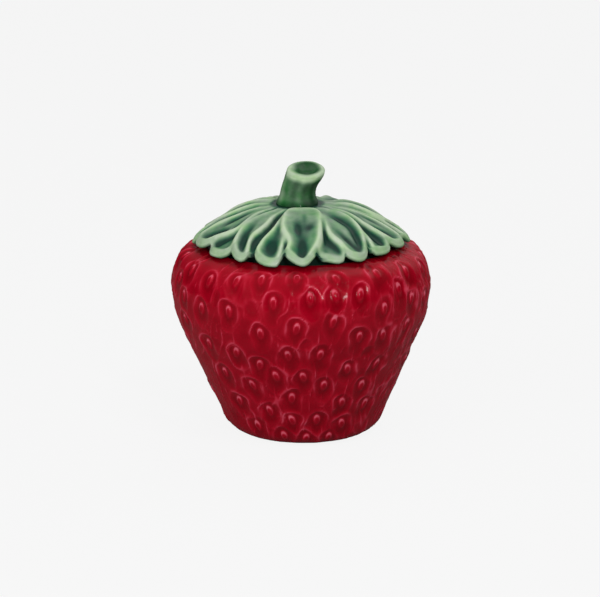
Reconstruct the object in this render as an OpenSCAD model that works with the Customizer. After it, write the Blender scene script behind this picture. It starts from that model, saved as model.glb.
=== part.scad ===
// Strawberry-shaped ceramic storage jar: a slip-cast pot with a turned-in shoulder,
// a loose lid cast as a calyx of overlapping leaves, and a hollow-ended stem luted on as its knob.
// Millimetres, +Z up, origin at the centre of the foot. The front is towards -Y.

/* [Jar] */
// Diameter at the widest place
belly_d = 130; // [118:1:150]
// Height of the flat top that carries the lid
jar_h = 93.3; // [80:0.1:110]
// Diameter of the flat foot
foot_d = 58; // [46:1:70]
// Radius between the foot and the wall
foot_round = 12; // [8:0.5:16]
// Radius of the long curve below the widest place
belly_round = 53; // [42:1:64]
// Radius of the shoulder above the widest place
shoulder_round = 25; // [20:0.5:30]
// Radius of the brow, where the shoulder turns in flat
brow_round = 9; // [7:0.5:12]
// Angle above the horizontal at which the shoulder passes into the brow
brow_angle = 31.3; // [20:0.1:45]
// Thickness of the pot's wall, floor and lip
wall = 5; // [3.5:0.1:6]
// Diameter of the mouth inside its round lip
mouth_d = 76; // [62:1:84]
// Width of the ring that the pot stands on
foot_ring_w = 6; // [4:0.5:10]
// Depth of the hollow inside the foot ring
foot_recess = 1.5; // [0.8:0.1:2.5]

/* [Seeds] */
// Radius of the ball that fits the dimple round each seed
dimple_ball = 30; // [20:1:40]
// Depth of the dimples
dimple_depth = 0.8; // [0.4:0.1:1]
// Radius at which a dimple ends at the latest
dimple_r = 5.6; // [4:0.1:6]
// Radius of the two balls that shape the sides of a seed
seed_ball = 8.3; // [6:0.1:10]
// Distance between the middles of those two balls
seed_keel = 4.2; // [3:0.1:5]
// Depth of a seed's keel below the pot's outline
seed_sink = 0.05; // [0.05:0.05:0.3]

/* [Lid] */
// Height of the crown above the jar's top
crown_rise = 22.3; // [17:0.1:28]
// Gap between the jar's top and the leaf tips
tip_gap = 2.4; // [1:0.1:4]
// Thickness of the leaf tips
tip_wall = 3.2; // [2.4:0.1:4]
// Step from the crown down to the roots of the leaves
crown_dip = 0.7; // [0:0.1:1.5]
// How steeply the canopy turns down at its edge
canopy_power = 1.85; // [1.6:0.05:2.8]
// Thickness of the canopy
lid_wall = 5.4; // [4.6:0.1:6]
// How far the leaf tips reach past the ring that rests on the jar
leaf_reach = 9; // [6:0.5:11]
// Least distance of the notches between the tips from that ring
notch_clear = 4.6; // [3:0.1:6]
// Depth of the hollow in each leaf
leaf_hollow = 1.8; // [0.6:0.1:2.2]
// Depth of the crease between leaves
leaf_crease = 1.6; // [0.6:0.1:2]
// Bulge of the rounded leaf edge
edge_bulge = 0.6; // [0.2:0.1:0.9]
// Width of the ring that rests on the jar
seat_w = 7; // [5:0.5:9]
// Depth of the spigot that keeps the lid in the mouth
spigot_depth = 7.5; // [5:0.5:10]
// Thickness of the spigot
spigot_w = 4; // [3:0.1:5]
// Gap between the spigot and the mouth
spigot_gap = 1; // [0.5:0.1:2]
// Rounding of the ring and the spigot
fillet = 1; // [0.5:0.1:1.4]

/* [Stem] */
// Diameter of the stem at its waist
stem_d = 17.2; // [14:0.1:20]
// Diameter of its spread foot
stem_foot_d = 21; // [19:0.1:24]
// Diameter of its open end
stem_end_d = 19.2; // [16:0.1:22]
// Height from the crown to the middle of the end
stem_h = 17; // [13:0.5:24]
// Place of the foot to the right of the jar's axis
stem_x = -2; // [-4:0.5:4]
// Place of the foot behind the jar's axis
stem_y = 1; // [-4:0.5:4]
// How far the end leans to the right of the foot
stem_lean = 4.3; // [0:0.1:7]
// Tilt of the cut end towards the front
stem_tilt = 15; // [0:1:20]
// Depth of the hollow in the end
stem_hollow = 3.6; // [2:0.1:3.9]
// Width of the rim round that hollow
stem_rim_w = 2.6; // [1.8:0.1:4]
// Depth of the shallow flutes down the stem
flute_depth = 0.3; // [0.1:0.05:0.6]

/* [Detail] */
// Sides of the pot's round profile
round_sides = 180; // [90:30:240]
// Columns of facets across each leaf
columns = 8; // [6:2:10]
// Sides of the stem
stem_sides = 32; // [20:4:40]
// Flutes round the stem
stem_flutes = 5; // [3:1:8]

/* [Hidden] */
red_glaze = [0.62, 0.02, 0.07];
leaf_green = [0.5, 0.66, 0.5];
stem_green = [0.25, 0.45, 0.3];

// Arcs of the pot's outline, each [centre, radius], from the foot to the brow.
brow_offset = (shoulder_round - brow_round) * [cos(brow_angle), sin(brow_angle)];
belly_z = jar_h - brow_round - brow_offset[1];
foot_arc = [[foot_d / 2, foot_round], foot_round];
belly_arc = [[belly_d / 2 - belly_round, belly_z], belly_round];
shoulder_arc = [[belly_d / 2 - shoulder_round, belly_z], shoulder_round];
brow_arc = [shoulder_arc[0] + brow_offset, brow_round];
wall_angle = common_tangent(foot_arc, belly_arc);
mouth_r = mouth_d / 2;

// Ends of the straight wall between foot and belly, and where the brow begins.
foot_top = foot_arc[0] + foot_round * [cos(wall_angle), sin(wall_angle)];
wall_top = belly_z + belly_round * sin(wall_angle);
brow_z = belly_z + shoulder_round * sin(brow_angle);

// Stretches of the outline: an arc, and the angles at which it begins and ends.
stretches = [
    [foot_arc, -90, wall_angle],
    [belly_arc, wall_angle, 0],
    [shoulder_arc, 0, brow_angle],
    [brow_arc, brow_angle, 90]];

// Places of the seeds on a third of the pot: degrees from the front, height above the foot.
seed_places = [
    [-46, 87], [-31, 89], [-19, 91], [-2, 92], [17, 91.5], [39, 91.5], [58, 89],
    [-49, 72.5], [-33, 74], [-12, 80.5], [4, 83], [15.5, 84], [27, 83.5], [39, 74.5], [49, 82.5], [57, 75.5],
    [-49, 53.5], [-18, 64.5], [-2, 68], [14, 71], [27, 61.5], [40, 60.5], [55, 62.5],
    [-32, 52.5], [-6, 53], [9, 53.5], [-45, 38.5], [-21, 46.5], [-13, 41], [24, 44], [41, 44], [1, 41],
    [-28, 34], [12, 35.5], [35, 33], [-6, 28.5], [24, 25], [-42, 23], [-21, 20], [42, 21],
    [-7, 15.5], [9, 15.5]];

// Rings of the lid, from the spigot out to the leaf tips.
spigot_or = mouth_r - spigot_gap;
spigot_ir = spigot_or - spigot_w;
spigot_z = jar_h - spigot_depth;
seat_r = spigot_or + seat_w;
notch_r = seat_r + notch_clear;
tip_r = seat_r + leaf_reach;
crown_r = stem_foot_d / 2 + norm([stem_x, stem_y]) + 0.5;
crown_z = jar_h + crown_rise;
canopy_drop = crown_rise - tip_gap - tip_wall;
leaf_rows = [0, 0.1, 0.2, 0.3, 0.4, 0.5, 0.6, 0.7, 0.8, 0.88, 0.94, 1];
leaf_middle = 0.66;

// The leaves, from the front round to the right: the left border in degrees, how high the leaf lies,
// how much lower its tip lies than that, and how far it reaches past tip_r.
leaves = [
    [-10, 1.6, 1.6, -0.3], [12.5, -0.8, 2.4, -3.3], [23.5, 0.9, 1.5, -1.2], [46, -0.6, 0.3, -1.7],
    [64, 0.4, -0.3, -0.3], [82.5, -0.3, -1.4, 1.4], [101, 1.2, 0.6, 0], [120, 0.4, 1.6, -0.3],
    [132, 1.8, 1.8, -1.2], [153, 0.8, 1.8, -1.7], [169, 2.1, 2, 0], [190, 0.6, 3.2, -2.3],
    [203.5, 1.6, 1.8, 0], [222, 0.5, 1.6, -1.7], [240, 1, 0.6, -0.8], [258, -0.3, -1, 1],
    [276, 0.6, -1, 0.4], [298, -0.9, 0, -0.3], [311.5, 0.3, 0.6, -0.9], [330, 0.3, 0.8, 0]];
leaf_count = len(leaves);

// Angle of the outward normal on the straight line that touches both arcs.
function common_tangent(a, b) =
    let (d = b[0] - a[0]) atan2(d[1], d[0]) - acos((a[1] - b[1]) / norm(d));

// The point of an arc at an angle, moved in by inset towards its centre.
function arc_point(arc, a, inset) = arc[0] + (arc[1] - inset) * [cos(a), sin(a)];
function smooth(from, to, x) = let (f = min(1, max(0, (x - from) / (to - from)))) f * f * (3 - 2 * f);

// All that lies inside the pot's outline, moved in by inset: a core with straight sides,
// and a slice of a disc on each arc.
module pot_inside(inset) {
    polygon([
        [0, inset],
        arc_point(foot_arc, -90, inset),
        arc_point(foot_arc, wall_angle, inset),
        for (s = [1:3]) arc_point(stretches[s][0], stretches[s][1], inset),
        arc_point(brow_arc, 90, inset),
        [0, jar_h - inset]]);
    for (s = stretches) intersection() {
        translate(s[0][0]) circle(s[0][1] - inset, $fn = round_sides);
        polygon([s[0][0], for (a = [s[1], (s[1] + s[2]) / 2, s[2]]) arc_point(s[0], a, -s[0][1])]);
    }
}

// The wall between two outlines, open at the mouth, with a round lip and a hollow inside the foot ring.
module pot_section() {
    lip = [mouth_r + wall / 2, jar_h - wall / 2];
    ring_r = foot_d / 2 - foot_ring_w;
    difference() {
        pot_inside(0);
        pot_inside(wall);
        translate([0, jar_h - 2 * wall]) square([lip[0], 3 * wall]);
        polygon([
            [0, -foot_recess],
            [ring_r + foot_recess, -foot_recess],
            [ring_r - foot_recess, foot_recess],
            [0, foot_recess]]);
    }
    intersection() {
        translate(lip) circle(wall / 2, $fn = round_sides);
        translate(lip - [wall, wall]) square([wall, 2 * wall]);
    }
}

// Radius of the pot and angle of its outward normal, at a height.
function on_arc(arc, z) = let (a = asin((z - arc[0][1]) / arc[1])) [arc[0][0] + arc[1] * cos(a), a];
function on_pot(z) =
    z < foot_top[1] ? on_arc(foot_arc, z)
    : z < wall_top ? [foot_top[0] - (z - foot_top[1]) * tan(wall_angle), wall_angle]
    : z < belly_z ? on_arc(belly_arc, z)
    : z < brow_z ? on_arc(shoulder_arc, z)
    : on_arc(brow_arc, z);

// Puts something at every seed's place, with +Z out of the wall and +X down along it.
module at_seeds() {
    for (turn = [0:120:240], place = seed_places) {
        spot = on_pot(place[1]);
        rotate(turn + place[0] - 90) translate([spot[0], 0, place[1]]) rotate([0, 90 - spot[1], 0]) children();
    }
}

// A ball with its poles to the left and right, where no other surface meets them.
module ball(r, sides) rotate([90, 0, 0]) sphere(r, $fn = sides);

// What a dimple takes away: the cap of a large ball, less the seed that stays standing in it.
// The seed is what two balls side by side share, with its keel along the wall.
module dimple() {
    seed_half = sqrt(seed_ball * seed_ball - seed_keel * seed_keel / 4);
    difference() {
        intersection() {
            translate([0, 0, dimple_ball - dimple_depth]) ball(dimple_ball, 60);
            translate([0, 0, -2 * dimple_depth]) cylinder(h = 4 * dimple_depth, r = dimple_r, $fn = 30);
        }
        translate([0, 0, -seed_sink - seed_half]) intersection_for (side = [-1, 1])
            translate([0, side * seed_keel / 2, 0]) ball(seed_ball, 36);
    }
}

module jar_body() color(red_glaze) difference() {
    rotate_extrude($fn = round_sides) pot_section();
    at_seeds() dimple();
}

// Height of the canopy's skin at a distance from the axis.
function canopy_z(r) =
    let (share = max(0, r - crown_r) / (tip_r - crown_r))
    crown_z - crown_dip * smooth(0, 0.12, share) - (canopy_drop - crown_dip) * pow(share, canopy_power);

// One value per column, from the left border of each leaf to the next leaf:
// [angle, place across the leaf from -1 to 1, lift, droop, radius of the edge].
leaf_columns = [for (j = [0:leaf_count - 1], c = [0:columns - 1])
    let (
        leaf = leaves[j],
        left = leaves[(j + leaf_count - 1) % leaf_count],
        width = (leaves[(j + 1) % leaf_count][0] - leaf[0] + 360) % 360,
        t = -1 + 2 * c / columns)
    [
        leaf[0] + width * c / columns - 90,
        t,
        c == 0 ? min(leaf[1], left[1]) : leaf[1],
        c == 0 ? max(leaf[2], left[2]) : leaf[2],
        notch_r + (tip_r + leaf[3] - notch_r) * sqrt(1 - t * t)]];

// Height over the canopy: the leaf's own lift, its hollow, and the turn down to the crease round its edge.
function leaf_relief(u, column) =
    let (
        t = abs(column[1]),
        past = (u - leaf_middle) / (u > leaf_middle ? 1 - leaf_middle : leaf_middle),
        from_middle = norm([t, past]),
        grown = smooth(0, 0.35, u),
        hollow = leaf_hollow * (1 - smooth(0.15, 0.8, from_middle)),
        crease = leaf_crease * smooth(0.75, 1, u > leaf_middle ? from_middle : t))
    grown * (column[2] - hollow - crease) - column[3] * smooth(0.53, 1, u);

function on_column(column, r, z) = [r * cos(column[0]), r * sin(column[0]), z];

// Rows of points round the lid: over the leaves, round their edge, and back under to the middle.
function leaf_row(u) = [for (c = leaf_columns)
    let (r = crown_r + (c[4] - crown_r) * u) on_column(c, r, canopy_z(r) + leaf_relief(u, c))];
function edge_row(out, down) = [for (c = leaf_columns)
    let (
        top = canopy_z(c[4]) + leaf_relief(1, c),
        foot = max(jar_h + tip_gap, top + leaf_crease - tip_wall))
    on_column(c, c[4] + out, top + down * (foot - top))];
function ring_row(p) = [for (c = leaf_columns) on_column(c, p[0], p[1])];

under_rings = [
    [seat_r + fillet, canopy_z(seat_r) - lid_wall],
    [seat_r, canopy_z(seat_r) - lid_wall - fillet],
    [seat_r, jar_h + fillet],
    [seat_r - fillet, jar_h],
    [spigot_or, jar_h],
    [spigot_or, spigot_z + fillet],
    [spigot_or - fillet, spigot_z],
    [spigot_ir + fillet, spigot_z],
    [spigot_ir, spigot_z + fillet],
    [spigot_ir, canopy_z(spigot_ir) - lid_wall - 2 * fillet],
    [spigot_ir - 2 * fillet, canopy_z(spigot_ir) - lid_wall],
    [spigot_ir * 0.65, canopy_z(spigot_ir * 0.65) - lid_wall],
    [crown_r * 0.6, crown_z - lid_wall]];

// A closed solid from rings with equal numbers of points, capped at both ends.
module ring_solid(rows) {
    n = len(rows[0]);
    sides = [for (k = [0:len(rows) - 2], i = [0:n - 1])
        let (a = k * n + i, b = k * n + (i + 1) % n) each [[a, b, b + n], [a, b + n, a + n]]];
    first_cap = [for (i = [n - 1:-1:0]) i];
    last_cap = [for (i = [0:n - 1]) (len(rows) - 1) * n + i];
    polyhedron([for (row = rows) each row], concat([first_cap], sides, [last_cap]), convexity = 10);
}

module lid() color(leaf_green) ring_solid(concat(
    [for (u = leaf_rows) leaf_row(u)],
    [edge_row(edge_bulge, 0.35), edge_row(edge_bulge / 2, 0.75), edge_row(-edge_bulge, 1)],
    [for (p = under_rings) ring_row(p)]));

// A ring of the stem: share of its height, radius, and how far it sinks into the end.
// Lean and tilt grow along the stem, so that the foot lies flat and the end is cut at a slant.
function stem_row(share, r, sink = 0) =
    let (
        tilt = stem_tilt * share,
        flute = sink > 0 ? 0 : flute_depth * sin(180 * share),
        mid = [stem_x + stem_lean * pow(share, 1.8), stem_y, crown_z + stem_h * share])
    [for (i = [0:stem_sides - 1])
        let (a = 360 * i / stem_sides, q = (r + flute * cos(stem_flutes * a)) * [cos(a), sin(a)])
        mid + [q[0], q[1] * cos(tilt) + sink * sin(tilt), q[1] * sin(tilt) - sink * cos(tilt)]];

module stem_knob() {
    foot = stem_foot_d / 2;
    waist = stem_d / 2;
    end = stem_end_d / 2;
    bowl = end - stem_rim_w;
    color(stem_green) ring_solid([
        stem_row(0, foot),
        stem_row(0.06, foot - 0.1 * (foot - waist)),
        stem_row(0.16, foot - 0.75 * (foot - waist)),
        stem_row(0.34, waist),
        stem_row(0.56, waist),
        stem_row(0.76, waist + 0.4 * (end - waist)),
        stem_row(0.9, end),
        stem_row(0.97, end - 0.1 * stem_rim_w),
        stem_row(1, end - 0.35 * stem_rim_w),
        stem_row(1, bowl + 0.3 * stem_rim_w, 0.1),
        stem_row(1, bowl, 0.25 * stem_hollow),
        stem_row(1, 0.75 * bowl, 0.75 * stem_hollow),
        stem_row(1, 0.35 * bowl, stem_hollow)]);
}

jar_body();
lid();
stem_knob();
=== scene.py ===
# %% [markdown]
# # A strawberry jar in glazed earthenware
# The jar is three castings: a red pot, a lid shaped as a calyx of leaves, and a stem for a knob.
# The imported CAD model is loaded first. It fixes every size and place, and each piece made here
# stands for one of its nodes and moves with one of its bodies.

# %% Load the frame
import math

import bpy
import numpy as np
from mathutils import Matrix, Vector


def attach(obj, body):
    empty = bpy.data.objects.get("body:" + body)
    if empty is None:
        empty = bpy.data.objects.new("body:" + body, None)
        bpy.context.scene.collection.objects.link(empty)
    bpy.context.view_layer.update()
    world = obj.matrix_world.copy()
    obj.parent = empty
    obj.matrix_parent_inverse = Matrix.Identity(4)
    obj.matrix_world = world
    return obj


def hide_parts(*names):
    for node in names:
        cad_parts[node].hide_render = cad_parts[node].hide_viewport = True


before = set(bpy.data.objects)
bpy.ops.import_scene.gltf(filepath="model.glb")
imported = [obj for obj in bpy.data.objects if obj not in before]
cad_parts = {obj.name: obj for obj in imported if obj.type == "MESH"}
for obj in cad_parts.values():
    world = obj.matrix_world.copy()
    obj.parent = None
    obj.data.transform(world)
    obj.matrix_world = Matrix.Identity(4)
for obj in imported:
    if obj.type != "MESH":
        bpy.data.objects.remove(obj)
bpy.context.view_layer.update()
MM = 0.001
TAU = 2 * math.pi


# %% [markdown]
# ## Skins from rings
# All three castings are round, so each skin can be laid as a stack of rings of points, from one
# closed end to the other. A lathe (the Screw modifier) would only give plain rounds, and sculpting
# could not be repeated. Rings of computed points give relief anywhere, in a clean quad grid that
# a glossy glaze needs. Out of sight, a ring may have half the points of its neighbour.

# %% Helpers for ring skins
def ring_faces(start_a, n_a, start_b, n_b):
    """Faces between two rings of points; one may have twice the points of the other."""
    if n_a == n_b:
        i = np.arange(n_a)
        j = (i + 1) % n_a
        return np.stack([start_a + i, start_a + j, start_b + j, start_b + i], 1).tolist()
    fine, coarse = (start_a, start_b) if n_a > n_b else (start_b, start_a)
    n = min(n_a, n_b)
    faces = []
    for i in range(n):
        f0, f1, f2 = fine + 2 * i, fine + 2 * i + 1, fine + (2 * i + 2) % (2 * n)
        c0, c1 = coarse + i, coarse + (i + 1) % n
        three = [[f0, f1, c0], [f1, c1, c0], [f1, f2, c1]]
        faces += three if n_a > n_b else [face[::-1] for face in three]
    return faces


def skin_from_rings(name, rings):
    """A closed mesh from rings given in millimetres, with a fan at each end."""
    starts = np.cumsum([0] + [len(ring) for ring in rings])
    points = np.concatenate(rings) * MM
    faces = []
    for k in range(len(rings) - 1):
        faces += ring_faces(int(starts[k]), len(rings[k]), int(starts[k + 1]), len(rings[k + 1]))
    ends = np.array([rings[0].mean(0), rings[-1].mean(0)]) * MM
    first, last = len(points), len(points) + 1
    n = len(rings[0])
    faces += [[first, (i + 1) % n, i] for i in range(n)]
    n, s = len(rings[-1]), int(starts[-2])
    faces += [[last, s + i, s + (i + 1) % n] for i in range(n)]
    mesh = bpy.data.meshes.new(name)
    mesh.from_pydata(np.concatenate([points, ends]).tolist(), [], faces)
    mesh.update()
    mesh.shade_smooth()
    piece = bpy.data.objects.new(name, mesh)
    bpy.context.scene.collection.objects.link(piece)
    triangles = sum(len(face) - 2 for face in faces)
    print(f"{name}: {len(points) + 2} points, {triangles} triangles")
    return piece


def paint(piece, name, rings):
    """One number per point, such as how thick the glaze lies, for a material to read."""
    values = np.concatenate([*rings, [np.mean(rings[0]), np.mean(rings[-1])]]).astype(np.float32)
    layer = piece.data.attributes.new(name, "FLOAT", "POINT")
    layer.data.foreach_set("value", values)


def smooth(low, high, x):
    """A soft step from 0 at low to 1 at high; low may be the larger of the two."""
    f = np.clip((x - low) / (high - low), 0, 1)
    return f * f * (3 - 2 * f)


def bump_at(middle, width, x):
    """A soft bump of height 1 that fades over a width."""
    return np.exp(-((x - middle) / width) ** 2)


def circle(n, radius, z):
    """A level ring of n points round the jar's axis."""
    angle = np.arange(n) * TAU / n
    return np.stack([radius * np.cos(angle), radius * np.sin(angle), np.full(n, z)], 1)


# %% [markdown]
# ## The pot's outline
# The pot was cast in plaster, so its wall has one even thickness. Its outline is five arcs that
# run into each other: foot, belly, shoulder, brow and lip. Working with arcs keeps the outline the
# same as the CAD's, and the inside is the same outline moved in by the wall.

# %% Outline of the pot
BELLY_R, JAR_H, FOOT_R, WALL, MOUTH_R = 65.0, 93.3, 29.0, 5.0, 38.0
FOOT_ROUND, BELLY_ROUND, SHOULDER_ROUND, BROW_ROUND = 12.0, 53.0, 25.0, 9.0
BROW_ANGLE, BROW_END = math.radians(31.3), math.radians(68)
FOOT_RING, FOOT_RECESS = 6.0, 1.5

brow_step = (SHOULDER_ROUND - BROW_ROUND) * np.array([math.cos(BROW_ANGLE), math.sin(BROW_ANGLE)])
belly_z = JAR_H - BROW_ROUND - brow_step[1]
foot_c = np.array([FOOT_R, FOOT_ROUND])
belly_c = np.array([BELLY_R - BELLY_ROUND, belly_z])
shoulder_c = np.array([BELLY_R - SHOULDER_ROUND, belly_z])
brow_c = shoulder_c + brow_step
reach = belly_c - foot_c
WALL_ANGLE = math.atan2(reach[1], reach[0]) - math.acos((FOOT_ROUND - BELLY_ROUND) / np.hypot(*reach))


def arc(centre, radius, start, end, n):
    """Points along an arc, as radius and height."""
    a = np.linspace(start, end, n)
    return centre + radius * np.stack([np.cos(a), np.sin(a)], 1)


def pot_outline(inset, n, brow_end=math.pi / 2):
    """The outline from foot to brow, moved in by an inset, with n points on each arc."""
    return np.concatenate([
        arc(foot_c, FOOT_ROUND - inset, -math.pi / 2, WALL_ANGLE, n),
        arc(belly_c, BELLY_ROUND - inset, WALL_ANGLE, 0, n),
        arc(shoulder_c, SHOULDER_ROUND - inset, 0, BROW_ANGLE, n),
        arc(brow_c, BROW_ROUND - inset, BROW_ANGLE, brow_end, n)])


def steps(line):
    """The distance from each point of a line to the next."""
    return np.hypot(*np.diff(line, axis=0).T)


def without_repeats(line):
    """The line without the points at which two arcs meet given twice."""
    return line[np.r_[True, steps(line) > 1e-3]]


# outside, the brow runs on in a slope until it is well under the leaves of the lid
ARC_POINTS, SLOPE_POINTS, SLOPE_R = 200, 30, 50.0
dense = pot_outline(0, ARC_POINTS, BROW_END)
slope_z = dense[-1, 1] + (dense[-1, 0] - SLOPE_R) / math.tan(BROW_END)
slope = np.linspace(dense[-1], [SLOPE_R, slope_z], SLOPE_POINTS)
slope_end = [[SLOPE_R - 1, slope_z + 0.25], [SLOPE_R - 2, slope_z + 0.3]]
dense = without_repeats(np.concatenate([dense, slope, slope_end]))
dense_s = np.r_[0, np.cumsum(steps(dense))]
OUTLINE = dense_s[-1]


def outline_at(s):
    """Radius and height at a distance along the outline from the foot."""
    return np.interp(s, dense_s, dense[:, 0]), np.interp(s, dense_s, dense[:, 1])


def outline_normal(s, step=0.3):
    """The outward normal there, from the points a short step behind and ahead."""
    ahead_r, ahead_z = outline_at(s + step)
    behind_r, behind_z = outline_at(s - step)
    dr, dz = ahead_r - behind_r, ahead_z - behind_z
    length = np.hypot(dr, dz)
    return dz / length, -dr / length


print(f"outline from foot to lid: {OUTLINE:.1f} mm, widest at z = {belly_z:.1f} mm")

# %% [markdown]
# ## Where the seeds sit
# Each seed of the fruit lies in its own oval dimple, and a few dimples between them are empty.
# The seeds are placed one by one on a third of the pot, as degrees from the front and millimetres
# above the foot. The same third is turned twice to go round the pot, as in the CAD. Five more
# seeds of each third, low on the foot, and the empty dimples are only in this picture of the jar.

# %% Seeds and dimples
SEED_PLACES = [
    (-46, 87), (-31, 89), (-19, 91), (-2, 92), (17, 91.5), (39, 91.5), (58, 89),
    (-49, 72.5), (-33, 74), (-12, 80.5), (4, 83), (15.5, 84), (27, 83.5), (39, 74.5), (49, 82.5), (57, 75.5),
    (-49, 53.5), (-18, 64.5), (-2, 68), (14, 71), (27, 61.5), (40, 60.5), (55, 62.5),
    (-32, 52.5), (-6, 53), (9, 53.5), (-45, 38.5), (-21, 46.5), (-13, 41), (24, 44), (41, 44), (1, 41),
    (-28, 34), (12, 35.5), (35, 33), (-6, 28.5), (24, 25), (-42, 23), (-21, 20), (42, 21),
    (-7, 15.5), (9, 15.5)]
LOW_SEEDS = [(27, 12), (-33, 10), (-14, 5.5), (2, 4.5), (19, 4.5)]
# degrees from the front, height, radius of the empty dimple
EMPTY_PLACES = [(-22, 76.5, 4.6), (-40, 80.5, 3.6), (2, 60, 3.4), (33, 53, 3.4)]
THIRDS = (0, 120, 240)


def up_outline(z):
    """Distance along the outline from the foot at which it reaches a height."""
    return float(np.interp(z, dense[:, 1], dense_s))


seeds = [(a + turn, up_outline(z)) for turn in THIRDS for a, z in SEED_PLACES + LOW_SEEDS]
empties = [(a + turn, up_outline(z), size) for turn in THIRDS for a, z, size in EMPTY_PLACES]
print(f"{len(seeds)} seeds, {len(empties)} empty dimples")

# %% [markdown]
# ## A grid over the outside
# The relief is worked out on a grid: rows go up the outline, columns go round the pot. Hand-made
# moulds are never quite even, and a sum of many waves, with lengths in millimetres and directions
# drawn by chance, gives that unevenness. The seed of the draws is fixed, so every run is the same.

# %% Grid and unevenness
COLUMNS, ROW_STEP = 560, 0.78
WAVES, WAVES_R = 26, 50
rng = np.random.default_rng(7)
rows = np.linspace(0, OUTLINE, int(OUTLINE / ROW_STEP))
row_s, col_a = np.meshgrid(rows, np.degrees(np.arange(COLUMNS) * TAU / COLUMNS), indexing="ij")


def half_turn(degrees):
    """The same direction, as -180 to 180 degrees."""
    return (degrees + 180) % 360 - 180


def mottle(shortest, longest, spread=math.pi):
    """An uneven field over the outside, about -2 to 2; a small spread makes it run up the pot."""
    total = np.zeros(row_s.shape)
    for _ in range(WAVES):
        pace = TAU / rng.uniform(shortest, longest)
        heading = rng.uniform(-spread / 2, spread / 2)
        # a whole number of waves goes round, so the field closes
        rounds = round(pace * math.cos(heading) * WAVES_R)
        total += np.sin(rounds * np.radians(col_a) + pace * math.sin(heading) * row_s + rng.uniform(0, TAU))
    return total / math.sqrt(WAVES / 2)


# the front is towards -Y, and the angle grows to the right
from_front = half_turn(col_a + 90)
print(f"grid of {len(rows)} rows and {COLUMNS} columns")

# %% [markdown]
# ## Relief on the pot
# A dimple is a shallow bowl with a thin raised ridge round it, strongest above the seed. Where two
# dimples meet they share one ridge. For every point the two nearest dimples are found, with the
# distance counted in dimple sizes: 0 in the middle and 1 on the ridge. Bowl, ridge and seed are
# then plain functions of that distance. The same numbers say where glaze would thin out or pool.

# %% The nearest dimples and seeds
DIMPLE_W, DIMPLE_UP, DIMPLE_DOWN = 5.6, 6.4, 11.5
SEED_W, SEED_H, SEED_TAPER, SEED_LEAN = 1.75, 3.5, 0.16, 0.2
WARP, FAR, TINY = 0.45, 9.0, 1e-6

warp_x, warp_y = WARP * mottle(7, 20), WARP * mottle(7, 20)
nearest, second, from_ridge, from_seed = (np.full(row_s.shape, FAR) for _ in range(4))
crest, bowl, up_seed = (np.zeros(row_s.shape) for _ in range(3))

# degrees from the front, distance up the outline, size, depth, strength of the ridge, has a seed
sites = [(a, s, rng.uniform(0.92, 1.08), 1.0, 1.0, True) for a, s in seeds]
sites += [(a, s, 0.9 * size / DIMPLE_W + 0.12, 0.8, 0.5, False) for a, s, size in empties]
for a, s, scale, depth, strength, has_seed in sites:
    x = np.radians(half_turn(from_front - a)) * outline_at(s)[0]
    y = row_s - s
    if has_seed:
        lean = rng.uniform(-SEED_LEAN, SEED_LEAN)
        width = SEED_W * (1 + SEED_TAPER * np.clip(y / SEED_H, -1, 1))
        q = np.hypot((x - lean * y) / width, y / SEED_H)
        up_seed = np.where(q < from_seed, y / SEED_H, up_seed)
        from_seed = np.minimum(from_seed, q)
    x, y = x + warp_x, y + warp_y
    half_w = scale * DIMPLE_W
    half_h = scale * np.where(y > 0, DIMPLE_UP, DIMPLE_DOWN if has_seed else DIMPLE_UP)
    q = np.hypot(x / half_w, y / half_h)
    closer = q < nearest
    second = np.where(closer, nearest, np.minimum(second, q))
    steepness = np.hypot(x / half_w ** 2, y / half_h ** 2) / np.maximum(q, TINY)
    from_ridge = np.where(closer, (q - 1) / steepness, from_ridge)
    up = y / np.maximum(np.hypot(x, y), TINY)
    crest = np.where(closer, strength * (0.35 + 0.65 * smooth(-0.95, 0.0, up)), crest)
    bowl = np.where(closer, depth, bowl)
    nearest = np.where(closer, q, nearest)
print(f"{len(sites)} dimples, {np.mean(nearest < 1):.0%} of the outside lies in one")

# %% [markdown]
# Between the dimples run thin, broken veins. They lie where an uneven field crosses zero, which
# gives lines of one width without drawing any. The right side has many more of them, all upright.

# %% Relief of dimples, ridges, veins and seeds
BOWL, RIDGE, RIDGE_W, SEED_UP, LUMP = 0.58, 0.42, 0.8, 0.75, 0.16


def veins_between(shortest, longest, spread, width, shown, gaps):
    """Thin lines of an uneven field, shown only where a second, wider field is high."""
    lines = bump_at(0, width, mottle(shortest, longest, spread))
    return lines * smooth(*shown, mottle(*gaps))


# the relief fades out on the round of the foot and under the leaves
fade = smooth(1, 14, row_s) * (1 - smooth(OUTLINE - 4, OUTLINE - 0.5, row_s))
shared = 0.85 * bump_at(0, 2 * RIDGE_W / DIMPLE_W, second - nearest) * smooth(1.12, 0.95, nearest)
own = bump_at(0, RIDGE_W, from_ridge) * crest
uneven = smooth(-1.6, 1.0, mottle(9, 26))
long_veins = veins_between(9, 18, 0.9, 0.14, (-0.9, 0.9), (12, 30))
short_veins = veins_between(5, 10, 2.0, 0.14, (0.0, 1.2), (12, 30))
lumps, patches = mottle(10, 34), mottle(6, 16)
on_right = smooth(28, 44, from_front) * smooth(96, 82, from_front)
fine_lines = on_right * veins_between(6, 11, 1.0, 0.45, (-1.0, 0.4), (10, 24))
veins = np.maximum(long_veins, 0.7 * short_veins) * smooth(0.4, 0.8, nearest)
veins = np.maximum(veins, fine_lines * smooth(0.3, 0.6, nearest))
ridge = np.maximum(np.maximum(shared, own) * (0.45 + 0.55 * uneven), 0.9 * veins)
hollow = bowl * np.clip(1 - nearest ** 2.4, 0, 1)
seed = np.clip(1 - from_seed ** 2, 0, 1) ** 0.6
relief = fade * (RIDGE * ridge - BOWL * hollow + SEED_UP * seed + LUMP * lumps)
print(f"relief from {relief.min():.2f} to {relief.max():.2f} mm")

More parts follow.
